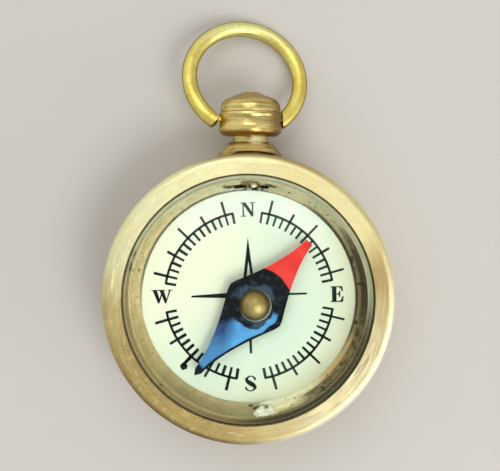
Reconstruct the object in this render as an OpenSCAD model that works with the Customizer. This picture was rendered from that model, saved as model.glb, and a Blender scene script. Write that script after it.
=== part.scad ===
// Small open-face brass pocket compass that hangs from a bow.
// The back lies on z = 0 around the origin, +Y runs to the pendant and its bow,
// and +Z comes out of the glass. All sizes are in millimetres.

/* [Case and bezel] */
// Outside diameter of the bezel
case_d = 40; // [39:0.5:46]
// Height of the case from its back to the top of the bezel
case_h = 12.6; // [11.6:0.2:14]
// How far the bezel stands out past the case body
bezel_overhang = 0.6; // [0.3:0.1:1]
// Height of the bezel
bezel_h = 3.6; // [3.2:0.1:4]
// Width of the bezel's face, from its outer edge to the glass seat
bezel_face = 2.75; // [2.6:0.05:3.4]
// Radius of the bezel's outer shoulder
bezel_shoulder = 1; // [0.4:0.1:1.2]
// Wall of the bezel's skirt round the neck of the case
skirt_t = 2; // [1.8:0.1:2.2]
// Wall of the neck that the bezel is pushed on to
neck_t = 0.9; // [0.6:0.1:1.2]
// Floor of the case
floor_t = 3; // [1.5:0.1:3.5]
// Radius of the case's back edge
back_edge_r = 1.6; // [0.8:0.1:2.2]
// Radius of the line turned in the back
back_line_r = 14.5; // [12:0.5:16]
// Depth of the line turned in the back
back_line_depth = 0.15; // [0.1:0.05:0.3]

/* [Glass] */
// Thickness of the glass
glass_t = 1.4; // [1.2:0.1:1.6]
// How far the glass lies below the bezel's face
glass_drop = 0.2; // [0.1:0.05:0.4]
// Width of the bevel round the glass
glass_bevel_w = 0.3; // [0.2:0.05:0.7]
// Height of the bevel round the glass
glass_bevel_h = 0.3; // [0.2:0.05:0.5]
// Width of the seal round the glass
seal_w = 0.25; // [0.15:0.05:0.4]
// Height of the seal
seal_h = 0.9; // [0.7:0.1:1]
// Width of the ledge that carries the glass
ledge_w = 0.85; // [0.5:0.05:0.9]
// Thickness of the ledge that carries the glass
ledge_t = 0.8; // [0.6:0.1:1]

/* [Dial and wall ring] */
// Depth of the dial below the bezel's face
dial_depth = 5; // [4.8:0.1:5.4]
// Thickness of the printed dial card
card_t = 0.2; // [0.15:0.05:0.3]
// Thickness of the plate under the card
plate_t = 0.6; // [0.4:0.1:0.8]
// Width of the coved wall between the glass ledge and the open dial
cove_w = 1.4; // [1.1:0.1:1.6]
// Radius of the cove
cove_r = 2; // [1.8:0.1:2.4]
// Height of the plain band above the cove
cove_top_h = 0.45; // [0.4:0.05:0.5]
// Direction of the split in the wall ring, in degrees from +X
split_angle = -80; // [-100:1:-60]
// Width of the split in the wall ring
split_w = 0.4; // [0.3:0.05:0.6]
// Radius of the solder blobs over the split
solder_r = 0.7; // [0.5:0.05:0.8]
// Spread of the solder blobs round the wall, in degrees
solder_spread = 3; // [2:0.5:4]
// How far down the cove the solder lies, in degrees of its curve
solder_low = 35; // [30:1:45]
// Wall of the ring that carries the dial plate
support_t = 1.6; // [1:0.1:2.4]

/* [Needle] */
// Sideways place of the pivot from the middle of the dial
pivot_x = 0.95; // [-1:0.05:1]
// Lengthwise place of the pivot from the middle of the dial
pivot_y = -0.9; // [-1.5:0.05:1.5]
// Direction of the needle's north end, in degrees clockwise from +Y
needle_heading = 40; // [0:1:90]
// Gap between the needle's long end and the wall at the closest
needle_end_gap = 0.7; // [0.6:0.1:2]
// How much shorter the north end is than the south end
north_short = 1.5; // [0:0.1:2]
// Half width of the needle at its waist corners
needle_half_w = 4.8; // [3.5:0.1:5.2]
// Half width of the needle at its ends
needle_end_half_w = 0.55; // [0.4:0.05:0.8]
// Length of the south end's point
south_point_h = 0.8; // [0.4:0.1:1.2]
// How hollow the needle's edges are
needle_hollow = 1.6; // [1.2:0.1:2]
// Rounding of the needle's waist corners
needle_corner = 0.5; // [0.3:0.1:0.8]
// Thickness of the needle
needle_t = 0.25; // [0.2:0.05:0.35]
// Radius of the brass cap over the hub
cap_r = 2.15; // [1.9:0.05:2.4]
// Height of the cap
cap_h = 1.35; // [1.25:0.05:1.5]
// Gap between the cap and the glass
cap_gap = 0.25; // [0.2:0.05:0.35]
// Radius of the washer under the cap
washer_r = 2.22; // [2.2:0.02:2.6]
// Thickness of the washer under the cap
washer_t = 0.12; // [0.1:0.02:0.2]
// How far the washer lies off the middle of the hub
washer_shift = 0.08; // [0:0.02:0.2]
// Radius of the hub's collar
collar_r = 1.25; // [1.15:0.05:1.35]
// Height of the hub's collar above the washer
collar_h = 0.5; // [0.4:0.05:0.6]
// Radius of the hub's flange
hub_r = 1.9; // [1.6:0.1:2.3]
// Thickness of the hub's flange
hub_t = 0.4; // [0.3:0.05:0.5]
// Radius of the jewel cup
jewel_r = 0.8; // [0.7:0.05:0.9]
// Depth of the cone in the jewel cup
jewel_cone_h = 0.6; // [0.5:0.05:0.65]
// Radius of the pivot pin
pin_r = 0.3; // [0.25:0.05:0.35]
// Length of the pivot pin's sharp end
pin_point_h = 0.9; // [0.8:0.05:1]
// Radius of the pivot foot's shank
foot_r = 0.6; // [0.5:0.05:0.7]
// Radius of the pivot foot's flanges
foot_flange_r = 1.1; // [0.9:0.1:1.4]
// Thickness of the pivot foot's flange under the dial plate
foot_flange_t = 0.4; // [0.3:0.1:0.6]
// Height of the pivot foot's collar above the dial
foot_collar_h = 0.3; // [0.2:0.05:0.4]

/* [Pendant] */
// Largest radius of the pendant's foot
flare_r = 4.4; // [4.1:0.1:4.5]
// Radius of the pendant's neck
pendant_neck_r = 2.4; // [2.2:0.1:2.8]
// Radius of the flare's upper edge
flare_top_r = 2.9; // [2.8:0.05:3.1]
// Height of the foot's flare
flare_h = 1.55; // [1.4:0.05:1.7]
// Height of the slope from the flare's upper edge in to the neck
flare_lip = 0.1; // [0.05:0.05:0.15]
// Height of the pendant's foot and neck beyond the bezel
foot_h = 2.4; // [2.2:0.05:2.6]
// Height of the straight neck
pendant_neck_h = 0.75; // [0.6:0.05:0.9]
// Radius of the knob's drum
knob_r = 4.4; // [4.3:0.05:4.5]
// Radius of the drum's rounded lower edge
drum_round = 1; // [0.8:0.05:1]
// Height of the knob's sloping underside
knob_under_h = 1.05; // [1.05:0.05:1.3]
// Height of the bow's pivot line above the start of the drum's straight side
bow_up = 1.35; // [1.1:0.05:1.4]
// Height of the drum's straight side, up to the middle of the groove
drum_h = 2.25; // [2.1:0.05:2.4]
// Depth of the shallow hollow round the drum
drum_hollow = 0.1; // [0.05:0.05:0.15]
// Radius of the shallow hollow's curve
drum_hollow_r = 3.2; // [2.8:0.1:3.6]
// Depth of the groove over the drum
groove_d = 0.35; // [0.3:0.05:0.4]
// Width of the groove
groove_w = 0.15; // [0.1:0.05:0.2]
// Depth to which the drum's upper lip slopes in
lip_d = 0.1; // [0.05:0.05:0.15]
// Height of the drum's sloping upper lip
lip_h = 0.3; // [0.2:0.05:0.4]
// Radius of the knob's upper part
shoulder_r = 4.2; // [4.1:0.05:4.3]
// Height of the plain band between the groove and the shoulder
band_h = 0.6; // [0.4:0.05:0.8]
// Radius of the knob's upper shoulder
shoulder_round = 1.45; // [1.3:0.05:1.6]
// Slope of the crown over the shoulder, in degrees
crown_slope = 22; // [15:1:30]
// Radius of the flat round the button
crown_r = 1; // [0.8:0.1:1.2]
// Radius of the small round button on top of the knob
button_r = 0.75; // [0.6:0.05:0.9]
// How far the pendant is turned past level when it is tight, in degrees
pendant_turn = 12; // [0:1:14]
// Radius of the threaded stud that holds the pendant
stud_r = 1; // [0.8:0.1:1.2]
// Depth that the stud reaches into the knob
stud_in_knob = 0.8; // [0.6:0.1:0.9]
// Width across the flats of the nut
nut_flats = 4; // [3.8:0.1:4.2]
// Thickness of the nut
nut_t = 1.2; // [1:0.1:1.3]
// How far the stud stands out of the nut
stud_out = 0.55; // [0.5:0.05:0.6]
// Length of the stud's tapered end
stud_taper = 0.45; // [0.3:0.05:0.5]

/* [Bow] */
// Radius of the bow to the middle of its wire
bow_r = 7.95; // [7.7:0.05:8.6]
// Radius of the bow's wire
bow_wire_r = 1.07; // [0.95:0.01:1.2]
// Distance of the bow's middle from its pivot line
bow_reach = 6.15; // [6:0.05:6.6]
// Radius of the bow's pivot pins
bow_pin_r = 0.4; // [0.35:0.05:0.5]
// Length of the bow's pins inside the knob
bow_pin_h = 1.3; // [1:0.1:1.5]
// How far the bow's ends run on past its pivot line
bow_tail = 1.1; // [0.9:0.1:1.5]
// Direction of the filed side of the bow's left end, in degrees from the pivot line
bow_file = 121; // [118:1:124]
// Direction of the cut across the bow's left end, in degrees from the pivot line
bow_cut = 220; // [216:1:224]
// Height of the blunt tip between the filed side and the cut
bow_tip = 0.3; // [0.2:0.05:0.4]
// Gap between the bow's left end and the knob
bow_gap_left = 0.2; // [0.1:0.02:0.4]
// Gap between the bow's right end and the knob
bow_gap_right = 0.05; // [0.03:0.01:0.4]
// How far the bow's middle lies to the left of the pendant's
bow_lean = 0.4; // [0:0.05:0.5]

/* [Clearances] */
// Gap between turned pieces that fit in each other
fit_gap = 0.02; // [0.01:0.01:0.05]
// Radial play of the bow's pins
pin_play = 0.05; // [0.03:0.01:0.08]
// Room past the end of each of the bow's pins
pin_end_room = 0.3; // [0.2:0.05:0.5]
// Gap between the pendant's foot and the bezel
rim_gap = 0.05; // [0.05:0.01:0.1]
// Gap between the middle of the pendant's foot and the bezel
relief_gap = 0.3; // [0.2:0.05:0.4]
// Radius of the hollow that leaves that gap
relief_r = 9; // [8:0.5:11]
// Depth of that hollow below the bezel
relief_depth = 1.2; // [0.8:0.1:1.6]
// Room round the nut
nut_room = 0.3; // [0.2:0.05:0.5]
// Gap between the lowest point of the bow and what the compass lies on
table_gap = 0.02; // [0.01:0.01:0.1]

/* [Hidden] */
$fn = 96;
far = 60; // larger than the whole compass, for cutting tools
edge_break = 0.15;
needle_steps = 14; // stretches along each half of the needle's edge

// Radii of the turned pieces, from the outside in
bezel_r = case_d / 2;
body_r = bezel_r - bezel_overhang;
seat_r = bezel_r - bezel_face;
ledge_r = seat_r - ledge_w;
glass_r = seat_r - seal_w;
neck_r = bezel_r - skirt_t;
bore_r = neck_r - neck_t;
dial_view_r = ledge_r - cove_w;

// Heights, from the top down
glass_top = case_h - glass_drop;
ledge_top = glass_top - glass_t;
ledge_bottom = ledge_top - ledge_t;
skirt_bottom = case_h - bezel_h;
dial_top = case_h - dial_depth;
plate_top = dial_top - card_t;
plate_bottom = plate_top - plate_t;
cove_top = ledge_bottom - cove_top_h;
cove_at_r = ledge_r - edge_break - cove_r;

// Heights of the needle's pieces, hung from the glass down
cap_bottom = ledge_top - cap_gap - cap_h;
blade_top = cap_bottom - washer_t;
blade_bottom = blade_top - needle_t;
hub_bottom = blade_bottom - hub_t;
collar_top = cap_bottom + collar_h;
jewel_bottom = hub_bottom + edge_break;
jewel_top = collar_top - fit_gap;
pin_tip = jewel_bottom + jewel_cone_h - 2 * fit_gap;

// Reach of the needle's two ends from its pivot
south_reach = dial_view_r - norm([pivot_x, pivot_y]) - needle_end_gap;
north_reach = south_reach - north_short;

// Places along the pendant, all at mid height of the case
pendant_z = case_h / 2;
nut_corner_r = nut_flats / sqrt(3);
nut_seat_y = sqrt(bore_r * bore_r - nut_corner_r * nut_corner_r) - 2 * fit_gap;
stud_end_y = nut_seat_y - nut_t - stud_out;
pocket_y = stud_end_y - edge_break;
knob_y = bezel_r + foot_h;
flare_y = knob_y - pendant_neck_h - flare_lip - flare_h;
drum_y = knob_y + knob_under_h;
bow_y = drum_y + bow_up;
groove_y = drum_y + drum_h;
shoulder_y = groove_y + band_h;
notch_half_w = nut_corner_r + nut_room;

// The knob's underside rises from the neck until it meets the drum's rounded edge
under_w = knob_r - drum_round - pendant_neck_r;
under_l = norm([under_w, knob_under_h]);
under_a = atan2(knob_under_h, under_w) - asin(drum_round / under_l);
under_t = sqrt(under_l * under_l - drum_round * drum_round);

// The crown leaves the rounded shoulder at its own slope
crown_start = [
    shoulder_r - shoulder_round + shoulder_round * sin(crown_slope),
    shoulder_y + shoulder_round * cos(crown_slope)
];
crown_y = crown_start[1] + (crown_start[0] - crown_r) * tan(crown_slope);

// The bow droops until it touches what the compass lies on
droop_room = pendant_z + bow_lean * sin(pendant_turn) - bow_wire_r - table_gap;
bow_a = bow_r * bow_r - bow_reach * bow_reach;
bow_b = droop_room * bow_reach;
bow_c = pow(bow_r * sin(pendant_turn), 2) - droop_room * droop_room;
bow_drop = (sqrt(bow_b * bow_b - bow_a * bow_c) - bow_b) / bow_a;
bow_droop = asin(bow_drop / cos(pendant_turn));
bow_pin_end_x = knob_r - bow_pin_h;

// Half width of the needle at a distance u from its waist, on a side that reaches l
function needle_w(u, l) =
    needle_end_half_w
    + (needle_half_w - needle_end_half_w)
    * pow(max(0, 1 - sqrt(u * u + needle_corner * needle_corner) / l), needle_hollow);

// A turned piece about the compass's own axis
module turned() {
    rotate_extrude() children();
}

// Whatever is drawn here upright stands along +Y at the pendant's height
module on_pendant() {
    translate([0, 0, pendant_z]) rotate([-90, 0, 0]) children();
}

// Whatever is drawn here stands on the needle's pivot
module on_pivot() {
    translate([pivot_x, pivot_y, 0]) children();
}

// A rectangle from one corner to the other
module span(low, high) {
    translate(low) square(high - low);
}

// The pocket that gives the nut room, outward from y and from one height to another
module nut_pocket(y, low, high) {
    translate([-notch_half_w, y, low]) cube([2 * notch_half_w, far, high - low]);
}

// Slab across the split in the wall ring
module split_slab(width) {
    rotate([0, 0, split_angle]) translate([0, -width / 2, 0]) cube([far, width, case_h]);
}

// Section of the coved ring between the glass ledge and the dial
module wall_section() {
    difference() {
        span([dial_view_r, dial_top], [bore_r - fit_gap, ledge_bottom - fit_gap]);
        translate([cove_at_r, cove_top]) circle(cove_r);
        span([dial_view_r - 1, cove_top], [ledge_r - edge_break, case_h]);
    }
}

// Round blob of solder on the coved wall
module solder_blob(angle) {
    rotate([0, 0, angle])
        translate([cove_at_r + cove_r * cos(solder_low), 0, cove_top - cove_r * sin(solder_low)])
            sphere(solder_r);
}

// Turned pan with a neck for the bezel
module case_body() {
    color("goldenrod") difference() {
        turned() difference() {
            union() {
                span([0, 0], [body_r - back_edge_r, skirt_bottom]);
                span([0, back_edge_r], [body_r, skirt_bottom]);
                translate([body_r - back_edge_r, back_edge_r]) circle(back_edge_r);
                span([0, floor_t], [neck_r, ledge_bottom - fit_gap]);
            }
            span([0, floor_t], [bore_r, case_h]);
            translate([back_line_r, 0]) rotate(45) square(back_line_depth * sqrt(2), center = true);
        }
        on_pendant() cylinder(h = far, r = stud_r + fit_gap);
    }
}

// Bezel with the skirt, the glass ledge and a rounded shoulder
module bezel() {
    color("khaki") turned() difference() {
        union() {
            span([ledge_r, skirt_bottom], [bezel_r - bezel_shoulder, case_h]);
            span([ledge_r, skirt_bottom], [bezel_r, case_h - bezel_shoulder]);
            translate([bezel_r - bezel_shoulder, case_h - bezel_shoulder]) circle(bezel_shoulder);
        }
        span([0, skirt_bottom - 1], [neck_r + fit_gap, ledge_bottom]);
        span([0, ledge_top], [seat_r, case_h + 1]);
    }
}

// Flat glass with a bevelled edge
module glass() {
    color("lightcyan", 0.3) turned() difference() {
        span([0, ledge_top], [glass_r, glass_top]);
        polygon([
            [glass_r, glass_top - glass_bevel_h],
            [glass_r + 1, glass_top - glass_bevel_h],
            [glass_r + 1, glass_top + 1],
            [glass_r - glass_bevel_w, glass_top + 1],
            [glass_r - glass_bevel_w, glass_top]
        ]);
    }
}

// Dark seal in the gap between glass and bezel
module glass_seal() {
    color("darkolivegreen") turned()
        span([glass_r + fit_gap, ledge_top], [seat_r - fit_gap, ledge_top + seal_h]);
}

// Split ring with a coved face, which holds the dial down
module wall_ring() {
    color("tan") difference() {
        turned() wall_section();
        nut_pocket(0, dial_top - 1, pendant_z + nut_flats / 2 + edge_break);
        split_slab(split_w);
    }
}

// Solder that fills the split and lies in blobs on the wall
module solder_joint() {
    fill_w = split_w - 2 * fit_gap;
    color("gainsboro") difference() {
        union() {
            intersection() {
                turned() wall_section();
                split_slab(fill_w);
            }
            solder_blob(split_angle);
            solder_blob(split_angle + solder_spread);
        }
        difference() {
            turned() wall_section();
            split_slab(fill_w);
        }
    }
}

// Ring on the floor of the case that carries the dial plate
module support_ring() {
    outer_r = pocket_y - fit_gap;
    color("peru") turned() span([outer_r - support_t, floor_t], [outer_r, plate_bottom]);
}

// Plate that carries the card and the pivot
module dial_plate() {
    color("darkgoldenrod") difference() {
        translate([0, 0, plate_bottom]) cylinder(h = plate_t, r = bore_r - 2 * fit_gap);
        nut_pocket(pocket_y, plate_bottom - 1, plate_top + 1);
        on_pivot() cylinder(h = case_h, r = foot_r + fit_gap);
    }
}

// Printed card on the plate
module dial_card() {
    color("honeydew") difference() {
        translate([0, 0, plate_top]) cylinder(h = card_t, r = bore_r - edge_break);
        nut_pocket(pocket_y, plate_top - 1, dial_top + 1);
        on_pivot() cylinder(h = case_h, r = foot_r + fit_gap);
    }
}

// Riveted foot that holds the pivot pin in the plate
module pivot_foot() {
    color("gold") on_pivot() turned() difference() {
        union() {
            span([0, plate_bottom - foot_flange_t], [foot_flange_r, plate_bottom]);
            span([0, plate_bottom], [foot_r, dial_top]);
            span([0, dial_top], [foot_flange_r, dial_top + foot_collar_h]);
        }
        span([0, plate_bottom - foot_flange_t - 1], [pin_r + fit_gap, case_h]);
    }
}

// Pointed steel pin that the needle rides on
module pivot_pin() {
    color("silver") on_pivot() turned() polygon([
        [0, plate_bottom - foot_flange_t],
        [pin_r, plate_bottom - foot_flange_t],
        [pin_r, pin_tip - pin_point_h],
        [fit_gap, pin_tip],
        [0, pin_tip]
    ]);
}

// Flat needle with hollow edges, a blunt north end and a pointed south end
module needle_blade() {
    south_l = south_reach - south_point_h;
    south = [for (i = [needle_steps:-1:1]) -i * south_l / needle_steps];
    north = [for (i = [0:needle_steps]) i * north_reach / needle_steps];
    right = concat(
        [for (u = south) [needle_w(u, south_l), u]],
        [for (u = north) [needle_w(u, north_reach), u]]
    );
    left = [for (i = [len(right) - 1:-1:0]) [-right[i][0], right[i][1]]];
    color("navy") on_pivot() rotate([0, 0, -needle_heading])
        translate([0, 0, blade_bottom]) linear_extrude(needle_t) difference() {
            polygon(concat([[0, -south_reach]], right, left));
            circle(collar_r + fit_gap);
        }
}

// Hub that the blade is pushed on to
module needle_hub() {
    color("gold") on_pivot() turned() difference() {
        union() {
            span([0, hub_bottom], [hub_r, blade_bottom]);
            span([0, blade_bottom], [collar_r, collar_top]);
        }
        span([0, hub_bottom - 1], [jewel_r + fit_gap, case_h]);
    }
}

// Cup of hard stone in which the pin's point turns
module jewel_cup() {
    color("firebrick") on_pivot() turned() polygon([
        [0, jewel_bottom + jewel_cone_h],
        [jewel_r - edge_break, jewel_bottom],
        [jewel_r, jewel_bottom],
        [jewel_r, jewel_top],
        [0, jewel_top]
    ]);
}

// Bright washer between the blade and the cap
module cap_washer() {
    color("silver") on_pivot() translate([washer_shift, -washer_shift, blade_top])
        linear_extrude(washer_t) difference() {
            circle(washer_r);
            circle(collar_r + fit_gap + washer_shift * sqrt(2));
        }
}

// Domed cap over the hub
module hub_cap() {
    dome_r = (cap_r * cap_r + cap_h * cap_h) / (2 * cap_h);
    color("darkgoldenrod") on_pivot() difference() {
        translate([0, 0, cap_bottom]) intersection() {
            translate([0, 0, cap_h - dome_r]) sphere(dome_r);
            cylinder(h = cap_h, r = cap_r);
        }
        cylinder(h = collar_top + fit_gap, r = collar_r + fit_gap);
    }
}

// Flared foot of the pendant, cut to sit on the case and round the bezel
module pendant_foot() {
    color("goldenrod") difference() {
        on_pendant() turned() polygon([
            [stud_r + fit_gap, neck_r],
            [flare_r, neck_r],
            [flare_r, flare_y],
            [flare_top_r, flare_y + flare_h],
            [pendant_neck_r, flare_y + flare_h + flare_lip],
            [pendant_neck_r, knob_y],
            [stud_r + fit_gap, knob_y]
        ]);
        cylinder(h = skirt_bottom - rim_gap, r = body_r + fit_gap);
        translate([0, 0, skirt_bottom - rim_gap - fit_gap]) cylinder(h = far, r = bezel_r + rim_gap);
        translate([0, bezel_r + relief_gap - relief_r, skirt_bottom - relief_depth])
            cylinder(h = far, r = relief_r);
    }
}

// Knob with a hollowed drum, a groove, a rounded shoulder, a low crown and a small button
module pendant_knob() {
    color("darkkhaki") difference() {
        on_pendant() turned() difference() {
            union() {
                polygon([
                    [0, knob_y],
                    [pendant_neck_r, knob_y],
                    [pendant_neck_r + under_t * cos(under_a), knob_y + under_t * sin(under_a)],
                    [knob_r - drum_round, drum_y],
                    [0, drum_y]
                ]);
                translate([knob_r - drum_round, drum_y]) circle(drum_round);
                span([0, drum_y], [knob_r, groove_y]);
                span([0, groove_y], [shoulder_r, shoulder_y]);
                translate([shoulder_r - shoulder_round, shoulder_y]) circle(shoulder_round);
                polygon([
                    [0, shoulder_y],
                    [shoulder_r - shoulder_round, shoulder_y],
                    crown_start,
                    [crown_r, crown_y],
                    [0, crown_y]
                ]);
                translate([0, crown_y - 0.6 * button_r]) circle(button_r);
            }
            translate([knob_r + drum_hollow_r - drum_hollow, bow_y - lip_h / 2]) circle(drum_hollow_r);
            polygon([
                [knob_r, groove_y - lip_h],
                [knob_r - lip_d, groove_y],
                [knob_r - groove_d, groove_y + groove_w / 2],
                [knob_r - lip_d, groove_y + groove_w],
                [far, groove_y + groove_w],
                [far, groove_y - lip_h]
            ]);
            span([-far, 0], [0, far]);
            span([0, 0], [stud_r + fit_gap, knob_y + stud_in_knob + fit_gap]);
        }
        translate([0, bow_y, pendant_z]) rotate([0, pendant_turn, 0]) for (side = [-1, 1])
            translate([side * (bow_pin_end_x - pin_end_room), 0, 0])
                rotate([0, side * 90, 0]) cylinder(h = far, r = bow_pin_r + pin_play);
    }
}

// Threaded stud from the knob through the foot and the case wall
module pendant_stud() {
    color("silver") on_pendant() union() {
        translate([0, 0, stud_end_y + stud_taper])
            cylinder(h = knob_y + stud_in_knob - stud_end_y - stud_taper, r = stud_r);
        translate([0, 0, stud_end_y]) cylinder(h = stud_taper, r1 = stud_r - stud_taper, r2 = stud_r);
    }
}

// Hexagon nut on the stud, inside the case
module stud_nut() {
    color("silver") on_pendant() translate([0, 0, nut_seat_y - nut_t]) difference() {
        cylinder(h = nut_t, r = nut_corner_r, $fn = 6);
        translate([0, 0, -1]) cylinder(h = nut_t + 2, r = stud_r + fit_gap);
    }
}

// Open ring of round wire whose ends are cut off and turned down to pins
module bow() {
    left_x = knob_r + bow_gap_left;
    right_x = knob_r + bow_gap_right;
    color("yellowgreen") translate([0, bow_y, pendant_z])
        rotate([0, pendant_turn, 0]) rotate([-bow_droop, 0, 0]) union() {
            difference() {
                translate([-bow_lean, bow_reach, 0]) turned() translate([bow_r, 0]) circle(bow_wire_r);
                translate([-left_x, -far, -far / 2]) cube([left_x + right_x, far + 2 * bow_wire_r, far]);
                translate([-far, -far - bow_tail, -far / 2]) cube([2 * far, far, far]);
                linear_extrude(far, center = true) polygon([
                    [-left_x, 0],
                    [-left_x + bow_r * cos(bow_file) / 2, bow_r * sin(bow_file) / 2],
                    [0, bow_r * sin(bow_file) / 2],
                    [0, -bow_r],
                    [-left_x + bow_r * cos(bow_cut), bow_r * sin(bow_cut) - bow_tip],
                    [-left_x, -bow_tip]
                ]);
            }
            translate([-left_x - bow_pin_r, 0, 0]) rotate([0, 90, 0])
                cylinder(h = left_x + bow_pin_r - bow_pin_end_x, r = bow_pin_r);
            translate([bow_pin_end_x, 0, 0]) rotate([0, 90, 0])
                cylinder(h = right_x + bow_pin_r - bow_pin_end_x, r = bow_pin_r);
        }
}

case_body();
bezel();
glass();
glass_seal();
wall_ring();
solder_joint();
support_ring();
dial_plate();
dial_card();
pivot_foot();
pivot_pin();
needle_blade();
needle_hub();
jewel_cup();
cap_washer();
hub_cap();
pendant_foot();
pendant_knob();
pendant_stud();
stud_nut();
bow();
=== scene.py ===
# %% [markdown]
# # A small brass pendant compass
# The compass lies on its back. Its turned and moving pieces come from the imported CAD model,
# which is the fixed frame here: it settles every size and place. This lesson gives each
# piece its finish and adds what the CAD leaves out: the printing on the dial, the lumps of
# solder, the dirt at the pendant's nut and the marks of use.

# %% Load the frame
import math

import bmesh
import bpy
from mathutils import Matrix, Vector, noise


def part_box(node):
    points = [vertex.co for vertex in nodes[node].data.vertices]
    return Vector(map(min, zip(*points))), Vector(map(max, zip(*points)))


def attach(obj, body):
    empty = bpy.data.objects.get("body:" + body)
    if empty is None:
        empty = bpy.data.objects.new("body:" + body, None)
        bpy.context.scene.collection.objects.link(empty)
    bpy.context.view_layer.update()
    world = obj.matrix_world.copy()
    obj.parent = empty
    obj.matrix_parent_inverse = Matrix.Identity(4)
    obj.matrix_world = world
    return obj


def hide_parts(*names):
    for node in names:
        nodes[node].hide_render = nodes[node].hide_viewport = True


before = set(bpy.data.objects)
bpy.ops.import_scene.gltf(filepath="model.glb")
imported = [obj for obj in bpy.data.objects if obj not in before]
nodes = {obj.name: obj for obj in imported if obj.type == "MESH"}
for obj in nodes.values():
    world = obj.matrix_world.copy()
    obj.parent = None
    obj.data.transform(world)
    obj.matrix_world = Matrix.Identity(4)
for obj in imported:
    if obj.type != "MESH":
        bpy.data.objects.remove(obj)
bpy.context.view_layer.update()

MM = 0.001

# %% [markdown]
# ## Sizes that the finishes need
# A finish is placed on its piece, so it asks the frame where the piece is. A box gives the
# outside of a piece. The open part of the dial is the inside of the wall ring, which no box
# tells, so it is measured on the ring's own points.

# %% Sizes from the frame
def reach_from_axis(name):
    """Smallest and largest distance of a node's points from the compass's axis, in mm."""
    distances = [math.hypot(v.co.x, v.co.y) / MM for v in nodes[name].data.vertices]
    return min(distances), max(distances)


dial_r = reach_from_axis("wall_ring")[0]
seat_r = reach_from_axis("glass_seal")[1]
glass_r = reach_from_axis("glass")[1]
case_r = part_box("bezel")[1].x / MM
case_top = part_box("bezel")[1].z / MM
dial_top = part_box("dial_card")[1].z / MM
cap_low, cap_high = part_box("hub_cap")
pivot = (cap_low + cap_high) / (2 * MM)
pendant_z = (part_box("pendant_stud")[0].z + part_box("pendant_stud")[1].z) / (2 * MM)
print(f"dial {dial_r:.2f}, seat {seat_r:.2f}, case {case_r:.2f}, pivot {pivot.x:.2f} {pivot.y:.2f}")

# %% [markdown]
# ## The camera
# It hangs over the pendant's side of the case and looks almost straight down, tipped a few
# degrees, so that the far wall under the glass shows a little more than the near one.

# %% Hang the camera
def put(name, data):
    """Put a new object in the scene."""
    thing = bpy.data.objects.new(name, data)
    bpy.context.scene.collection.objects.link(thing)
    return thing


EYE = Vector((1.94, 17.46, case_top + 125))  # mm
EYE_TILT = (-3.89, 0.84, 0.58)  # degrees about X, Y and Z

camera = put("camera", bpy.data.cameras.new("camera"))
camera.location = EYE * MM
camera.rotation_euler = [math.radians(angle) for angle in EYE_TILT]
camera.data.sensor_width = 36
camera.data.lens = 67.07
camera.data.clip_start = 5 * MM
bpy.context.scene.camera = camera
bpy.context.scene.view_settings.view_transform = "Standard"
print("camera", round(camera.location.z / MM), "mm above the table")

# %% [markdown]
# ## Node sums as plain Python
# A pattern is a sum of many small nodes. `Wire` wraps the output of a node so that such a sum
# can be written as a sum, and `Nodes` holds a tree with a single method that adds any kind of
# node. `Finish` is the tree of one material. Positions are in millimetres, which suits a
# thing of this size.

# %% A wire
def sign(operation, swap=False):
    """What one of Python's signs does to a wire and another value."""
    def apply(wire, other):
        pair = (other, wire) if swap else (wire, other)
        return wire.owner.node("ShaderNodeMath", {"operation": operation}, dict(enumerate(pair)))
    return apply


class Wire:
    """The output socket of a node, in the tree of its owner."""

    __add__, __radd__ = sign("ADD"), sign("ADD", swap=True)
    __sub__, __rsub__ = sign("SUBTRACT"), sign("SUBTRACT", swap=True)
    __mul__, __rmul__ = sign("MULTIPLY"), sign("MULTIPLY", swap=True)
    __truediv__, __rtruediv__ = sign("DIVIDE"), sign("DIVIDE", swap=True)
    __pow__, __rpow__ = sign("POWER"), sign("POWER", swap=True)

    def __init__(self, owner, socket):
        self.owner, self.socket = owner, socket

    def maths(self, operation, *others):
        sockets = dict(enumerate((self, *others)))
        return self.owner.node("ShaderNodeMath", {"operation": operation}, sockets)

    def vector(self, operation, *others, out="Vector"):
        sockets = dict(enumerate((self, *others)))
        if operation == "SCALE":
            sockets = {0: self, "Scale": others[0]}
        return self.owner.node("ShaderNodeVectorMath", {"operation": operation}, sockets, out)


print("wires can be summed")

# %% A tree and a finish
class Nodes:
    """A node tree. One method adds every kind of node to it."""

    def __init__(self, tree):
        self.tree = tree

    def fill(self, node, sockets):
        """Give each socket its wire or its value. A list puts several wires in one socket."""
        for key, value in sockets.items():
            for part in value if isinstance(value, list) else [value]:
                if isinstance(part, Wire):
                    self.tree.links.new(part.socket, node.inputs[key])
                else:
                    node.inputs[key].default_value = part

    def node(self, kind, settings, sockets, out=0):
        made = self.tree.nodes.new(kind)
        for key, value in settings.items():
            if key == "stops":
                ramp = made.color_ramp
                while len(ramp.elements) < len(value):
                    ramp.elements.new(0.5)
                for element, (position, colour) in zip(ramp.elements, value):
                    element.position, element.color = position, colour
            else:
                setattr(made, key, value)
        self.fill(made, sockets)
        return Wire(self, made.outputs[out])


class Finish(Nodes):
    """A material that ends in one Principled shader. Even values go straight on its sockets."""

    def __init__(self, name, **even):
        self.material = bpy.data.materials.new(name)
        self.material.use_nodes = True
        super().__init__(self.material.node_tree)
        self.tree.nodes.clear()
        self.end = self.tree.nodes.new("ShaderNodeOutputMaterial")
        self.shader = self.tree.nodes.new("ShaderNodeBsdfPrincipled")
        self.tree.links.new(self.shader.outputs[0], self.end.inputs["Surface"])
        self.coat({key.replace("_", " "): value for key, value in even.items()})

    def coat(self, sockets):
        self.fill(self.shader, sockets)


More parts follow.
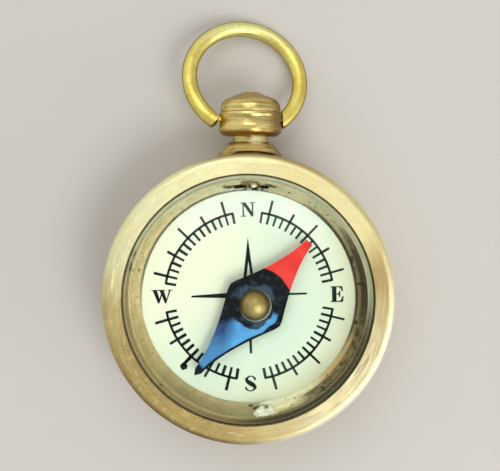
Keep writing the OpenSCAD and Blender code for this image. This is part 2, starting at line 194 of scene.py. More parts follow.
def seen(red, green, steel_and_sky_blue):
    """A colour as the eye sees it, 0 to 255, turned into the shader's linear values."""
    def linear(v):
        v /= 255
        return v / 12.92 if v <= 0.04045 else ((v + 0.055) / 1.055) ** 2.4
    return linear(red), linear(green), linear(steel_and_sky_blue), 1.0


print("middle grey:", round(seen(128, 128, 128)[0], 3))

# %% [markdown]
# ## Words for patterns
# These helpers are the maker's words that all finishes share: where a point is, a soft step
# between two values, one side of the compass, cloudy noise, a ragged smudge and the mix of two
# colours. A side is told by the cosine of the angle from it: 1 is right in that direction, 0 is
# a quarter turn away. Noise that is added to the cosine frays the side's border.

# %% Where a point is
def place(finish):
    """Where a point is on the object, in mm."""
    coordinates = finish.node("ShaderNodeTexCoord", {}, {}, "Object")
    return coordinates.vector("MULTIPLY", (1000, 1000, 1000))


def axes(vector):
    return [vector.owner.node("ShaderNodeSeparateXYZ", {}, {0: vector}, k) for k in range(3)]


def from_axis(vector):
    """The length of a vector seen from above: for a place, how far it is from the middle."""
    return vector.vector("MULTIPLY", (1, 1, 0)).vector("LENGTH", out="Value")


def ease(wire, low, high):
    """A soft step: 0 where the wire is at low, 1 where it is at high."""
    sockets = {"Value": wire, "From Min": low, "From Max": high}
    return wire.owner.node("ShaderNodeMapRange", {"interpolation_type": "SMOOTHSTEP"}, sockets)


def side(vector, angle, start, full, fray=None):
    """0 where the cosine toward an angle from +X is start, 1 where it is full."""
    a = math.radians(angle)
    flat = vector.vector("MULTIPLY", (1, 1, 0)).vector("NORMALIZE")
    cosine = flat.vector("DOT_PRODUCT", (math.cos(a), math.sin(a), 0), out="Value")
    return ease(cosine if fray is None else cosine + fray, start, full)


def near(wire, middle, far, close):
    """1 where the wire is within close of the middle, 0 where it is beyond far."""
    return ease((wire - middle).maths("ABSOLUTE"), far, close)


def grazing(finish, low, high):
    """0 where a surface faces the eye, 1 where it turns away."""
    return ease(finish.node("ShaderNodeLayerWeight", {}, {"Blend": 0.5}, "Facing"), low, high)


print("places are in mm")

# %% Noise, colour and height
def cloud(vector, size, detail=2.0, roughness=0.5, shift=0.0):
    """Noise from 0 to 1 whose lumps are about size mm across."""
    sockets = {"Vector": vector, "W": shift, "Scale": 1 / size, "Detail": detail,
               "Roughness": roughness}
    return vector.owner.node("ShaderNodeTexNoise", {"noise_dimensions": "4D"}, sockets)


def smudge(vector, x, y, wide, high, ragged, seed=0.0):
    """1 inside a ragged oval about x, y, seen from above, and 0 outside it."""
    oval = vector.vector("SUBTRACT", (x, y, 0)).vector("MULTIPLY", (2 / wide, 2 / high, 0))
    fray = (cloud(vector, 0.6, detail=3, shift=seed) - 0.5) * ragged * 2
    return ease(oval.vector("LENGTH", out="Value") + fray, 1.15, 0.8)


def blend(share, first, second):
    """The second colour over the first one, by a share from 0 to 1. Both are told as seen."""
    first, second = [c if isinstance(c, Wire) else seen(*c) for c in (first, second)]
    settings = {"data_type": "RGBA", "blend_type": "MIX", "clamp_factor": True}
    return share.owner.node("ShaderNodeMix", settings, {0: share, 6: first, 7: second}, 2)


def bump(height, depth, normal=None, strength=1.0):
    """The surface raised by height times depth mm."""
    sockets = {"Height": height, "Distance": depth * MM, "Strength": strength}
    if normal is not None:
        sockets["Normal"] = normal
    return height.owner.node("ShaderNodeBump", {}, sockets)


print("noise, mixes and bumps are ready")

# %% [markdown]
# ## What the lathe leaves
# Every brass piece was turned and then polished while it spun, so its scratches run round
# its axis. `Turning` gives, for any axis, the distance from it, the height along it and the
# direction in which the scratches run. `lines` is noise that is long in that direction and
# short across it. `brush` tilts the surface's normal across the scratches, so that the
# highlight spreads into the fans that brushed metal shows.

# %% Turned surfaces
class Turning:
    """A point told about an axis, in mm."""

    def __init__(self, finish, axis, centre):
        self.spot = place(finish)
        self.axis = finish.node("ShaderNodeCombineXYZ", {}, dict(enumerate(axis)))
        arm = self.spot.vector("SUBTRACT", centre)
        around = self.axis.vector("CROSS_PRODUCT", arm)
        self.run = around.vector("NORMALIZE")
        self.out = self.run.vector("CROSS_PRODUCT", axis)
        self.radius = around.vector("LENGTH", out="Value")
        self.height = arm.vector("DOT_PRODUCT", axis, out="Value")


def lines(turning, along, across, shift=0.0):
    """Noise in rings: along changes per radian, across changes per mm."""
    ring = turning.out.vector("SCALE", along)
    rise = turning.axis.vector("SCALE", turning.height * across)
    sockets = {
        "Vector": ring.vector("ADD", rise), "W": turning.radius * across + shift,
        "Scale": 1.0, "Detail": 1.0, "Roughness": 0.6,
    }
    return ring.owner.node("ShaderNodeTexNoise", {"noise_dimensions": "4D"}, sockets)


def brush(turning, grain, tilt):
    """The normal, tilted across the scratches by grain, which runs from 0 to 1."""
    finish = turning.run.owner
    normal = finish.node("ShaderNodeNewGeometry", {}, {}, "Normal")
    settings = {"vector_type": "VECTOR", "convert_from": "OBJECT", "convert_to": "WORLD"}
    run = finish.node("ShaderNodeVectorTransform", settings, {0: turning.run})
    across = normal.vector("CROSS_PRODUCT", run)
    return normal.vector("ADD", across.vector("SCALE", (grain - 0.5) * tilt)).vector("NORMALIZE")


def dress(name, finish):
    """Give a CAD node its finish."""
    for slot in nodes[name].material_slots:
        slot.material = finish.material


print("turned surfaces can be brushed")

# %% [markdown]
# ## Table and light
# The table is pale and plain. A soft lamp stands in the south-east, as a window would: it
# whitens that side of the bezel, leaves the wall of the case behind it dark and throws the
# needle's shadow to the north-west. A wide one hangs in the north, where the glass doesn't
# mirror it but the brushed brass does. A low one in the east lights the bezel's shoulder.
# The room is darkest overhead, so that the flat glass shows no veil over the dial, and its
# horizon is brightest toward the window and opposite it, which gives the brushed ring two
# pale fans.

# %% Table
def as_mesh(name, made):
    """Keep what was drawn as a mesh."""
    mesh = bpy.data.meshes.new(name)
    made.to_mesh(mesh)
    made.free()
    return mesh


TABLE_RADIUS = 1.2  # m

round_top = bmesh.new()
bmesh.ops.create_circle(round_top, cap_ends=True, radius=TABLE_RADIUS, segments=96)
table = put("table", as_mesh("table", round_top))
table_finish = Finish("pale_table", Roughness=0.85)
grain = cloud(place(table_finish), 30, detail=3)
table_finish.coat({"Base Color": blend(grain, (205, 202, 196), (213, 210, 204))})
table.data.materials.append(table_finish.material)
print("table laid at z = 0")

# %% Lamps
def panel(name, angle, height, distance, size, power, colour):
    """A square soft lamp that looks at the compass; angle is from +X, height is above it."""
    lamp = put(name, bpy.data.lights.new(name, "AREA"))
    lamp.data.shape, lamp.data.size = "SQUARE", size
    lamp.data.energy, lamp.data.color = power, colour
    a, h = math.radians(angle), math.radians(height)
    way = Vector((math.cos(a) * math.cos(h), math.sin(a) * math.cos(h), math.sin(h)))
    lamp.location = distance * way
    lamp.rotation_euler = way.to_track_quat("Z", "Y").to_euler()
    lamp.visible_camera = False
    print(name, "lamp at", round(distance / MM), "mm")


panel("window", -45, 59, 0.40, 0.18, 0.57, (1.0, 0.98, 0.95))
panel("skylight", 97, 62, 0.50, 0.34, 0.60, (1.0, 0.99, 0.98))
panel("low_window", -26, 15, 0.50, 0.24, 0.30, (1.0, 0.98, 0.94))

# %% The room
ROOM_GREYS = ((0.0, 0.60), (0.5, 0.62), (0.86, 0.70), (0.965, 0.08))  # height, grey
ROOM_EVEN, ROOM_FANS = 0.80, 0.55
WINDOW_WAY = math.radians(-35)

world = bpy.data.worlds.new("room")
bpy.context.scene.world = world
world.use_nodes = True
room = Nodes(world.node_tree)
view = room.node("ShaderNodeTexCoord", {}, {}, "Generated")
view_height = room.node("ShaderNodeSeparateXYZ", {}, {0: view}, "Z")
stops = [(height, (grey, grey, grey * 1.01, 1)) for height, grey in ROOM_GREYS]
greys = room.node("ShaderNodeValToRGB", {"stops": stops}, {0: view_height})
window_way = (math.cos(WINDOW_WAY), math.sin(WINDOW_WAY), 0)
fans = view.vector("DOT_PRODUCT", window_way, out="Value") ** 2
level = fans.maths("MULTIPLY_ADD", ROOM_FANS, ROOM_EVEN)
room.fill(room.tree.nodes["Background"], {"Color": greys, "Strength": level})
print("a grey room, darkest overhead")

# %% [markdown]
# ## Brass
# The bezel and the knob are a pale, worn yellow; the bow is a fresher, more saturated brass;
# the ring under the glass has gone dull and tan. They share one recipe: two brass colours in
# cloudy patches, a tarnish that gathers where a hand doesn't rub, scratches round the axis
# and small pits. Each finish then adds what only its piece has.

# %% Brass recipe
PIT_SIZE, PIT_DEPTH, SMEAR_DEPTH = 0.35, 0.02, 0.012  # mm


class Brass:
    """Worn turned brass: clouds of two colours, tarnish, pits and scratches."""

    def __init__(self, name, fresh, worn, tarnish, across, tilt, rough, axis=(0, 0, 1),
                 centre=(0, 0, 0), patch=5.0, along=2.5, rings=0.12, pitted=0.5, metal=1.0):
        self.finish = Finish(name, Metallic=metal)
        self.turning = turning = Turning(self.finish, axis, centre)
        self.spot, self.radius = turning.spot, turning.radius
        self.patches = cloud(self.spot, patch, detail=3, shift=across)
        self.smears = cloud(self.spot, patch / 5, detail=4, shift=across + 1)
        self.fine = lines(turning, along * 3, across)
        self.coarse = lines(turning, along, across / 6, shift=7)
        self.colour = blend(ease(self.patches, 0.35, 0.65), fresh, worn)
        self.tarnish = tarnish
        self.tilt, self.rings, self.rough, self.pitted = tilt, rings, rough, pitted

    def stain(self, share, colour=None):
        """Another colour over part of the brass: its tarnish, if none is named."""
        self.colour = blend(share, self.colour, self.tarnish if colour is None else colour)

    def sides(self, rows, within=1.0):
        """Stains on one side each, inside a mask: angle, start, full, share and colour."""
        for angle, start, full, share, colour in rows:
            self.stain(side(self.spot, angle, start, full) * within * share, colour)

    def done(self, *names):
        dull = ease(self.fine, 0.3, 0.7) * 0.4 + ease(self.smears, 0.4, 0.7) * 0.6
        self.stain(dull * 0.2)
        pits = ease(cloud(self.spot, PIT_SIZE, detail=1, shift=3), 0.70, 0.78)
        self.stain(pits * self.pitted)
        slanted = self.spot.vector("MULTIPLY", (1.9, 0.5, 2))
        scratch = ease(cloud(slanted, 0.45, detail=0, shift=12), 0.76, 0.80)
        grain = self.fine * (1 - self.rings) + self.coarse * self.rings
        normal = brush(self.turning, grain, self.tilt)
        normal = bump(self.smears, SMEAR_DEPTH, normal, 0.6)
        normal = bump(1 - pits + scratch * 0.6, PIT_DEPTH, normal, self.pitted)
        self.finish.coat({
            "Base Color": self.colour, "Normal": normal,
            "Roughness": self.rough + self.fine * 0.08 + self.smears * 0.14 + pits * 0.2,
        })
        for name in names:
            dress(name, self.finish)
        print("brass:", self.finish.material.name, "on", ", ".join(names))


print("brass recipe ready")

# %% [markdown]
# ### The bezel
# Its flat face was brushed in the lathe, and its shoulder is rounded. It is painted palest in
# the north-west, a painted sheen, and the south-west side, where it was held, has gone tan; the
# brown edge there is painted shade. The east and south-east of the face are painted darker and
# the south-east shoulder white: painted shade and a painted highlight. The narrow ledge round
# the glass is painted pale, painted light where the glass's edge shades it, and darker in the
# south-east, painted shade, beside its own stains.

# %% Bezel face
HELD_SIDE = -128

bezel = Brass("bezel_brass", (255, 251, 198), (255, 244, 180), (196, 166, 98),
              patch=6, across=32, tilt=1.05, rings=0.02, rough=0.33)
spot = bezel.spot
held = side(spot, HELD_SIDE, 0.5, 1.25, fray=cloud(spot, 4, shift=2) * 0.5)
bezel.stain(held * 0.85, (178, 152, 86))
chips = ease(cloud(spot, 1.1, detail=5, roughness=0.7, shift=11), 0.50, 0.66)
bezel.stain(chips * held * 0.6, (244, 226, 150))
bezel.stain(ease(bezel.coarse, 0.44, 0.62) * held * 0.25, (150, 122, 64))
mottle = ease(cloud(spot, 0.55, detail=4, roughness=0.75, shift=21), 0.46, 0.62)
bezel.stain(mottle * 0.3, (226, 206, 148))

# The first row paints the north-west paler, a painted sheen such as the lamps give the brushed
# face; the second tints the north-east.
bezel.sides([
    (128, 0.50, 1.00, 0.50, (255, 255, 208)),
    (55, 0.60, 1.00, 0.55, (236, 224, 166)),
])
# The first two rows darken the east and south-east of the face: painted shade that tames the lamps'
# brushed fans. The third is a tan tone in the south.
bezel.sides([
    (-6, 0.75, 0.98, 0.95, (160, 138, 88)),
    (-38, 0.60, 0.95, 0.80, (192, 185, 150)),
    (-88, 0.85, 0.98, 0.35, (170, 146, 90)),
], within=ease(bezel.radius, case_r - 0.6, case_r - 1.1))
print("bezel face, brushed round")

# %% Bezel edge and ledge
edge = ease(bezel.radius, case_r - 0.9, case_r - 0.1)
# The brown band along the south-west edge is painted shade.
painted_shade_edge = side(spot, -118, 0.9, 1.15, fray=cloud(spot, 3, shift=6) * 0.3)
bezel.stain(edge * painted_shade_edge * 0.85, (110, 80, 38))
# The north edge is browner; the white on the south-east shoulder is a painted highlight.
bezel.sides([
    (86, 0.82, 0.98, 0.60, (160, 122, 70)),
    (-38, 0.50, 0.85, 1.00, (255, 254, 238)),
], within=edge)
for x, y, wide in ((-2.0, -18.1, 1.3), (-0.9, -18.4, 0.8)):
    bezel.stain(smudge(spot, x, y, wide, 0.12, ragged=0.15) * 0.5, (255, 252, 230))

ledge = ease(bezel.radius, seat_r + 0.03, seat_r - 0.03)
# The ledge is painted pale and made less metallic: painted light where the glass's edge shades it.
bezel.stain(ledge, (240, 238, 214))
# On the ledge the south-west is tan, and the dark south-east is painted shade.
bezel.sides([
    (-135, 0.20, 0.80, 0.80, (204, 174, 112)),
    (-48, 0.62, 0.90, 0.85, (122, 98, 58)),
], within=ledge)
for x, y, wide, high in ((-15.65, 6.3, 0.8, 1.3), (-16.2, 4.6, 0.7, 1.6), (-12.0, -11.9, 0.8, 0.4)):
    dirty = smudge(spot, x, y, wide, high, ragged=0.8, seed=y)
    bezel.stain(dirty * ledge * 0.7, (96, 78, 44))
bezel.finish.coat({"Metallic": 1 - ledge * 0.85})
bezel.done("bezel")

# %% [markdown]
# ### The case
# The pan under the bezel is turned too, but never polished since, so it is browner, and it is
# darker towards the bottom of its side. The same recipe serves, with calmer scratches.

# %% Case
case = Brass("case_brass", (224, 194, 120), (206, 168, 92), (126, 92, 44),
             across=14, tilt=0.5, rough=0.3)
low = ease(axes(case.spot)[2], 5.0, 0.5)
case.stain(low * ease(case.patches, 0.3, 0.8) * 0.6)
case.done("case_body")

# %% [markdown]
# ### The pendant
# The foot, the neck and the knob were turned about the pendant's own axis. Painted shade darkens
# the hollow under the drum, the gap at the joint with the case, the drum's east flank and the
# sides that turn from the eye; painted light brightens the top of the button, a spot on the neck's
# front, the groove and the foot. Such marks follow the lathe, so each mask is a soft band along
# the axis, and the list of stains reads like coats of paint: the later one lies on top.

# %% Pendant
knob_low, knob_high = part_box("pendant_knob")
knob_y, tip_y = knob_low.y / MM, knob_high.y / MM
groove_y = knob_y + 3.37
neck_y = knob_y - 0.55

pendant = Brass("pendant_brass", (255, 238, 156), (252, 222, 132), (110, 80, 30),
                axis=(0, 1, 0), centre=(0, 0, pendant_z),
                patch=3, across=14, along=0.7, tilt=1.0, rings=0.55, rough=0.19)
along_x, along_y, up_z = axes(pendant.spot)
shoulder = ease(along_y, groove_y + 0.5, groove_y + 2.0)
# A painted highlight on the top of the button.
tip = ease(along_y, tip_y - 0.45, tip_y - 0.2)
olive = near(along_y, groove_y - 1.0, 0.9, 0.45) * ease(along_x, -0.8, 0.4)
# Painted shade in the hollow under the drum.
shade_under_drum = ease(along_y, knob_y + 1.0, knob_y + 0.5) * ease(along_y, knob_y - 0.1, knob_y + 0.1)
neck = near(along_y, neck_y, 0.7, 0.4)
# A painted highlight on the neck's front.
neck_highlight = neck * near(along_x, 0.9, 1.2, 0.3)
# The groove is painted pale and less metallic: painted light in its shade.
groove = near(along_y, groove_y, 0.16, 0.05)
# Painted shade on the drum's east flank.
shaded_flank = ease(along_x + pendant.smears * 0.6, 2.0, 4.3)
# The foot is painted pale and less metallic: painted light.
foot = ease(along_y, knob_y - 0.7, knob_y - 1.3)
foot = foot * ease(along_x.maths("ABSOLUTE") + pendant.smears, 3.6, 2.2)
# Painted shadow in the gap at the joint with the case.
joint = ease(from_axis(pendant.spot), case_r + 0.42, case_r + 0.32)
joint = joint * ease(up_z, 8.0, 8.6) * near(along_x, 0.7, 3.3, 2.3)
for share, colour in (
    (ease(pendant.coarse, 0.44, 0.62) * 0.5, (150, 118, 54)),
    (shoulder * 0.45, (190, 144, 62)),
    (tip * 0.9, (255, 240, 200)),
    (olive * 0.4, (150, 130, 66)),
    (shade_under_drum * 0.85, (142, 94, 34)),
    (neck * 0.3, (150, 112, 52)),
    (neck_highlight, (255, 248, 196)),
    (groove, (236, 206, 128)),
    (shaded_flank * 0.8, (126, 92, 44)),
    # The sides that turn from the eye are painted browner: painted shade.
    (grazing(pendant.finish, 0.45, 0.95) * 0.6, (104, 80, 34)),
    (foot * 0.7, (246, 216, 136)),
    (joint * 0.97, (22, 16, 4)),
):
    pendant.stain(share, colour)
pendant.finish.coat({"Metallic": 1 - groove * 0.8 - foot * 0.65 - neck_highlight * 0.6})
pendant.done("pendant_foot", "pendant_knob")

# %% [markdown]
# ### The bow
# It is drawn wire bent to a ring, so its scratches run along the wire: round the ring's own
# axis, which leans with the droop of the bow. The top of the ring is painted paler, a painted
# highlight, and its sides, which turn away from the eye, are painted browner: painted shade.

# %% Bow
BOW_AXIS = (0.1947, 0.3503, 0.9162)
BOW_MIDDLE = (-0.84, 30.56, 4.28)

bow = Brass("bow_brass", (255, 242, 134), (244, 220, 110), (112, 92, 30),
            axis=BOW_AXIS, centre=BOW_MIDDLE,
            patch=2.5, across=12, along=1.2, tilt=0.7, rings=0.3, rough=0.32, pitted=0.4)
# A painted highlight along the top of the ring.
bow.stain(ease(axes(bow.spot)[1], 33.5, 38.5) * 0.8, (255, 252, 178))
# Its sides, which turn from the eye, are painted browner: painted shade.
bow.stain(grazing(bow.finish, 0.30, 0.85) * 0.9, (112, 90, 26))
bow.done("bow")

# %% [markdown]
# ### Brass inside the case
# The wall ring is seen through the glass only. Lacquer and age gave it a grey-green cast in
# the north and tan in the west and south. Its dark east and south-east, where it faces away from
# the window lamp, are painted shade, and so is the dark line at its foot along the dial in the
# north and east; the cream band low in the south-east is painted light. Such marks could be
# painted on an unwrapped image. Told by their side and their distance from the dial's edge they
# need no unwrapping and stay sharp.

# %% Wall ring
wall = Brass("wall_brass", (224, 216, 180), (208, 196, 158), (96, 82, 50),
             patch=4, across=12, tilt=0.4, rough=0.42, metal=0.4)
spot = wall.spot
from_dial = wall.radius - dial_r
# A blotchy cloud that frays both the stains and the painted shade.
blotchy = cloud(spot, 1.2, detail=4, roughness=0.7, shift=8)
uneven = from_dial + blotchy * 0.5

south_west = side(spot, -155, 0.25, 0.95, fray=cloud(spot, 3, shift=5) * 0.35)
wall.stain(south_west * 0.9, (222, 200, 150))
wall.stain(south_west * ease(blotchy, 0.45, 0.65) * 0.3, (140, 112, 70))
wall.sides([
    (-142, 0.82, 0.98, 0.45, (156, 136, 90)),
    (-105, 0.75, 0.98, 0.60, (160, 142, 100)),
])
# A dark line at the foot of the wall in the north-east is painted shadow; the next row gives the
# wall above it a paler tone.
wall.sides([(28, 0.80, 0.97, 0.85, (84, 80, 48))], within=ease(from_dial, 0.5, 0.2))
wall.sides([(28, 0.80, 0.97, 0.80, (214, 210, 178))], within=ease(from_dial, 0.4, 0.8))
# The east wall is painted dark: painted shade.
east = side(spot, -8, 0.75, 1.05, fray=blotchy * 0.3)
wall.stain(east * 0.85, (128, 108, 70))
wall.stain(east * ease(from_dial, 0.45, 0.9) * 0.9, (58, 46, 24))
# The south-east is painted shade with a spotty tone.
shaded_south_east = side(spot, -42, 0.76, 0.9) * ease(uneven, 0.6, 1.0)
spotted = blend(ease(blotchy, 0.4, 0.6), (92, 70, 40), (176, 152, 108))
wall.stain(shaded_south_east * 0.85, spotted)
# A cream band low in the south-east and a narrow pale band beside it are painted light.
sunlit = side(spot, -48, 0.84, 0.92) * ease(uneven, 1.0, 0.7)
wall.stain(sunlit, blend(side(spot, -20, 0.8, 0.95), (255, 246, 202), (222, 190, 132)))
wall.sides([(-71, 0.972, 0.996, 1.00, (255, 246, 212))], within=ease(uneven, 1.7, 1.3))
# Painted shadow at the foot of the wall in the north-west and east.
wall.sides([
    (140, 0.55, 0.97, 0.90, (70, 64, 34)),
    (15, 0.60, 0.95, 0.90, (34, 30, 14)),
], within=ease(from_dial + blotchy * 0.4, 0.55, 0.25))

# The first three dark smudges, in the notch beside the pendant's nut, are painted shadow.
for x, y, wide, high in (
    (2.6, 15.6, 1.3, 0.55), (3.3, 15.45, 0.8, 0.3), (-2.9, 15.35, 1.6, 0.5),
    (1.6, -15.6, 1.8, 0.6), (0.5, -15.3, 0.8, 0.35), (15.6, 2.1, 1.5, 0.5),
    (14.3, 5.5, 0.6, 1.0), (15.0, -3.3, 0.6, 0.7), (10.6, -12.4, 0.9, 0.4),
):
    wall.stain(smudge(spot, x, y, wide, high, ragged=0.7, seed=x) * 0.85, (52, 42, 16))
wall.stain(smudge(spot, 0.0, 16.05, 2.6, 0.7, ragged=0.7) * 0.8, (120, 100, 54))
specks = ease(cloud(spot, 0.5, detail=0, shift=1), 0.72, 0.78)
wall.stain(specks * 0.8, (66, 52, 26))
wall.done("wall_ring")

# %% Hidden brass
inner = Brass("inner_brass", (196, 166, 100), (176, 142, 80), (92, 68, 34),
              across=4, tilt=0.15, rough=0.4)
inner.done("support_ring", "dial_plate", "pivot_foot", "needle_hub")

# %% [markdown]
# ### The cap on the needle
# A small polished dome, browner than the case. It was spun on its own axis, so the recipe gets
# the pivot as its centre and the scratches circle that.

# %% Hub cap
over_pivot = (pivot.x, pivot.y, 0)

cap = Brass("cap_brass", (194, 172, 118), (166, 142, 88), (80, 62, 22),
            centre=over_pivot, patch=1.6, across=10, along=1.5, tilt=0.35, rings=0.4, rough=0.38)
# The dome's rim is painted darker: painted shade where it turns away.
cap.stain(ease(cap.radius, 1.3, 2.1) * 0.65, (92, 74, 26))
cap.done("hub_cap")

# %% [markdown]
# ## Steel
# The stud, its nut, the pin and the washer are small turned parts of steel. One function
# finishes all four, since only their shade differs: the nut has gone nearly black.

# %% Steel pieces
def steel(name, pale, dark, node, centre, axis=(0, 0, 1), rough=0.25):
    finish = Finish(name, Metallic=1.0)
    turning = Turning(finish, axis, centre)
    patches = cloud(turning.spot, 0.8, detail=3)
    grain = lines(turning, 2, 8)
    finish.coat({
        "Base Color": blend(patches, pale, dark), "Roughness": rough + grain * 0.15,
        "Normal": bump(grain, 0.004),
    })
    dress(node, finish)
    print("steel:", name, "on", node)


for row in (
    ("stud_steel", (255, 246, 226), (226, 212, 186), "pendant_stud"),
    ("nut_steel", (70, 62, 46), (34, 28, 18), "stud_nut"),
):
    steel(*row, (0, 0, pendant_z), axis=(0, 1, 0), rough=0.5)
steel("pin_steel", (200, 202, 205), (160, 160, 162), "pivot_pin", over_pivot)
steel("washer_steel", (225, 232, 228), (180, 190, 186), "cap_washer", over_pivot, rough=0.18)

# %% [markdown]
# ## Glass
# The pane is clear, a little green at its edge, and lets the lamps' light through to the dial,
# which a plain glass shader would keep out. Fine dust and wipe marks roughen it slightly. A
# dark compound seals it.

# %% Pane of glass
pane = Finish("pane_glass", Transmission_Weight=1.0, IOR=1.5)
spot = place(pane)
wipes = cloud(spot.vector("MULTIPLY", (0.3, 1.2, 1)), 5, detail=4)
dust = ease(cloud(spot, 0.25, detail=0), 0.74, 0.80)
distance = from_axis(spot)
green = ease(distance, glass_r - 0.7, glass_r)
ground = ease(distance, glass_r - 0.33, glass_r - 0.29)
pane.coat({
    "Base Color": blend(green, (250, 255, 250), (236, 240, 222)),
    "Roughness": ease(wipes, 0.45, 0.8) * 0.02 + dust * 0.05 + ground * 0.45,
})
lamplight = pane.node("ShaderNodeLightPath", {}, {}, "Is Shadow Ray")
clear = pane.node("ShaderNodeBsdfTransparent", {}, {"Color": seen(246, 250, 244)})
solid = Wire(pane, pane.shader.outputs[0])
both = pane.node("ShaderNodeMixShader", {}, {0: lamplight, 1: solid, 2: clear})
pane.fill(pane.end, {"Surface": both})
dress("glass", pane)

seal = Finish("seal_compound")
lumps = cloud(place(seal), 0.8, detail=3)
seal.coat({
    "Base Color": blend(lumps, (50, 40, 14), (92, 78, 38)),
    "Roughness": 0.45 + lumps * 0.3, "Normal": bump(lumps, 0.05),
})
dress("glass_seal", seal)
print("glass and its seal are dressed")

# %% [markdown]
# ## The dial
# A printed card under a thin varnish: mint in the middle, cream toward the west, whiter in the
# north and yellower in the south-east, with a faint mottle. Along the wall ring in the north its
# edge has a painted shadow: a dark line where the ring meets the card. The tones are broad and
# soft, so a few sides and one cloud do for them.

# %% Dial card
card = Finish("dial_card_varnish", Coat_Weight=0.3, Coat_Roughness=0.12)
spot = place(card)
distance = from_axis(spot)
mottle = cloud(spot, 3.5, detail=4)
cream = side(spot, 150, 0.2, 1.2, fray=mottle * 0.5)
tone = blend(cream, (222, 236, 225), (245, 243, 227))
tone = blend(ease(distance, 9, 14) * side(spot, 75, 0.1, 0.9), tone, (247, 252, 250))
tone = blend(ease(distance, 9, 15) * side(spot, -30, -0.1, 0.9), tone, (228, 226, 200))
frayed = cloud(spot, 0.35, detail=2, shift=6)
# A dark line along the wall ring in the north: a painted shadow where the ring meets the card.
edge_shadow = ease(distance + frayed * 0.14, dial_r - 0.10, dial_r) * side(spot, 88, -0.25, 0.35)
tone = blend(edge_shadow * 0.9, blend(mottle * 0.3, tone, (218, 228, 210)), (74, 72, 44))
specks = ease(cloud(spot, 0.5, detail=1, shift=4), 0.70, 0.80)
card.coat({
    "Base Color": blend(specks * 0.2, tone, (170, 170, 140)),
    "Roughness": 0.45 + mottle * 0.15, "Normal": bump(mottle + specks * 0.2, 0.01),
})
dress("dial_card", card)
print("dial card, open to", round(dial_r, 2), "mm")

# %% [markdown]
# ## The printing
# Ink lies on the card as a very thin layer, so the marks are thin plates and not paint in the
# shader: they stay sharp however near one comes. The whole print sits turned by two degrees
# and a tenth of a millimetre off the middle, as it was stuck down by hand.

# %% Ink
ink = Finish("dial_ink", Specular_IOR_Level=0.1)
spot = place(ink)
wear = cloud(spot, 0.5, detail=3)
scale_only = ease(from_axis(spot), 8.5, 10)
thin = side(spot, 85, 0.6, 1.6, fray=cloud(spot, 3, shift=3)) * scale_only
thin = thin + side(spot, -66, 0.93, 0.99) * 0.6
shade = blend(ease(wear, 0.35, 0.7), (6, 14, 14), (30, 44, 42))
ink.coat({
    "Base Color": blend(thin * 0.5, shade, (84, 104, 100)), "Roughness": 0.5 + wear * 0.3,
})
print("ink is worn thin in the north")

# %% Prints and plates
PRINT_TURN = math.radians(1.9)
PRINT_PLACE = Vector((0.10, 0.11, 0))
INK_Z = dial_top + 0.002
INK_H = 0.015


def printed(name, mesh):
    """Put a flat print, drawn in mm about the dial's middle, on the card."""
    where = Matrix.Translation(PRINT_PLACE * MM) @ Matrix.Rotation(PRINT_TURN, 4, "Z")
    mesh.transform(where @ Matrix.Scale(MM, 4))
    mesh.materials.clear()
    mesh.materials.append(ink.material)
    thing = put(name, mesh)
    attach(thing, "case")
    print(name, len(mesh.polygons), "faces")


def plates(outlines):
    """Thin plates from closed outlines in mm, counter-clockwise or not."""
    made = bmesh.new()
    for outline in outlines:
        low, high = [[made.verts.new((x, y, z)) for x, y in outline]
                     for z in (INK_Z, INK_Z + INK_H)]
        made.faces.new(low)
        made.faces.new(high)
        for k in range(len(outline)):
            made.faces.new((low[k - 1], low[k], high[k], high[k - 1]))
    bmesh.ops.triangulate(made, faces=[f for f in made.faces if len(f.verts) > 4])
    bmesh.ops.recalc_face_normals(made, faces=made.faces)
    return as_mesh("print", made)


print("ink", INK_H, "mm thick")

# %% [markdown]
# ### The scale
# Each quarter has an arc from 10 to 80 degrees. Fifteen strokes hang inward from it, five
# degrees apart, and five stand outward, long and short by turns. Strokes that repeat by a rule
# are work for Geometry Nodes: points are counted out, each gets its place from its number, and
# a bar is set on it. The random part is how far the ink spread at each stroke.

# %% A tree for geometry
def grown(host):
    """The mesh that an object's modifiers make. The object itself goes."""
    graph = bpy.context.evaluated_depsgraph_get()
    mesh = bpy.data.meshes.new_from_object(host.evaluated_get(graph))
    bpy.data.objects.remove(host)
    return mesh


class GeometryTree(Nodes):
    """A node group for geometry. Its sizes are named inputs."""

    def __init__(self, name):
        super().__init__(bpy.data.node_groups.new(name, "GeometryNodeTree"))
        self.sockets = self.tree.interface
        self.sockets.new_socket("Geometry", in_out="OUTPUT", socket_type="NodeSocketGeometry")
        self.entry = self.tree.nodes.new("NodeGroupInput")

    def size(self, name, kind="NodeSocketFloat"):
        self.sockets.new_socket(name, in_out="INPUT", socket_type=kind)
        return Wire(self, self.entry.outputs[name])

    def close(self, geometry, material):
        """End in real geometry with its material on it."""
        real = self.node("GeometryNodeRealizeInstances", {}, {0: geometry})
        sockets = {"Geometry": real, "Material": material}
        dressed = self.node("GeometryNodeSetMaterial", {}, sockets)
        self.fill(self.tree.nodes.new("NodeGroupOutput"), {0: dressed})

    def grow(self, sizes):
        """Run the tree with these sizes and keep the result as a plain mesh."""
        host = put("host", bpy.data.meshes.new("host"))
        modifier = host.modifiers.new("grow", "NODES")
        modifier.node_group = self.tree
        for item in self.sockets.items_tree:
            if item.in_out == "INPUT":
                modifier[item.identifier] = sizes[item.name]
        return grown(host)


print("geometry trees are ready")

# %% Node tree for the scale
FIRST, STEP, LAST = 10, 5, 80  # degrees of a quarter
OVERHANG = 0.6  # degrees by which the arc passes its end strokes
QUARTERS = 4

scale_tree = GeometryTree("dial_scale")
arc_r, inner_end, long_end, short_end, width, ink_h, ink_z = [scale_tree.size(name) for name in (
    "Arc radius", "Inner end", "Long end", "Short end", "Line width", "Ink height", "Ink middle")]
ink_material = scale_tree.size("Ink", "NodeSocketMaterial")


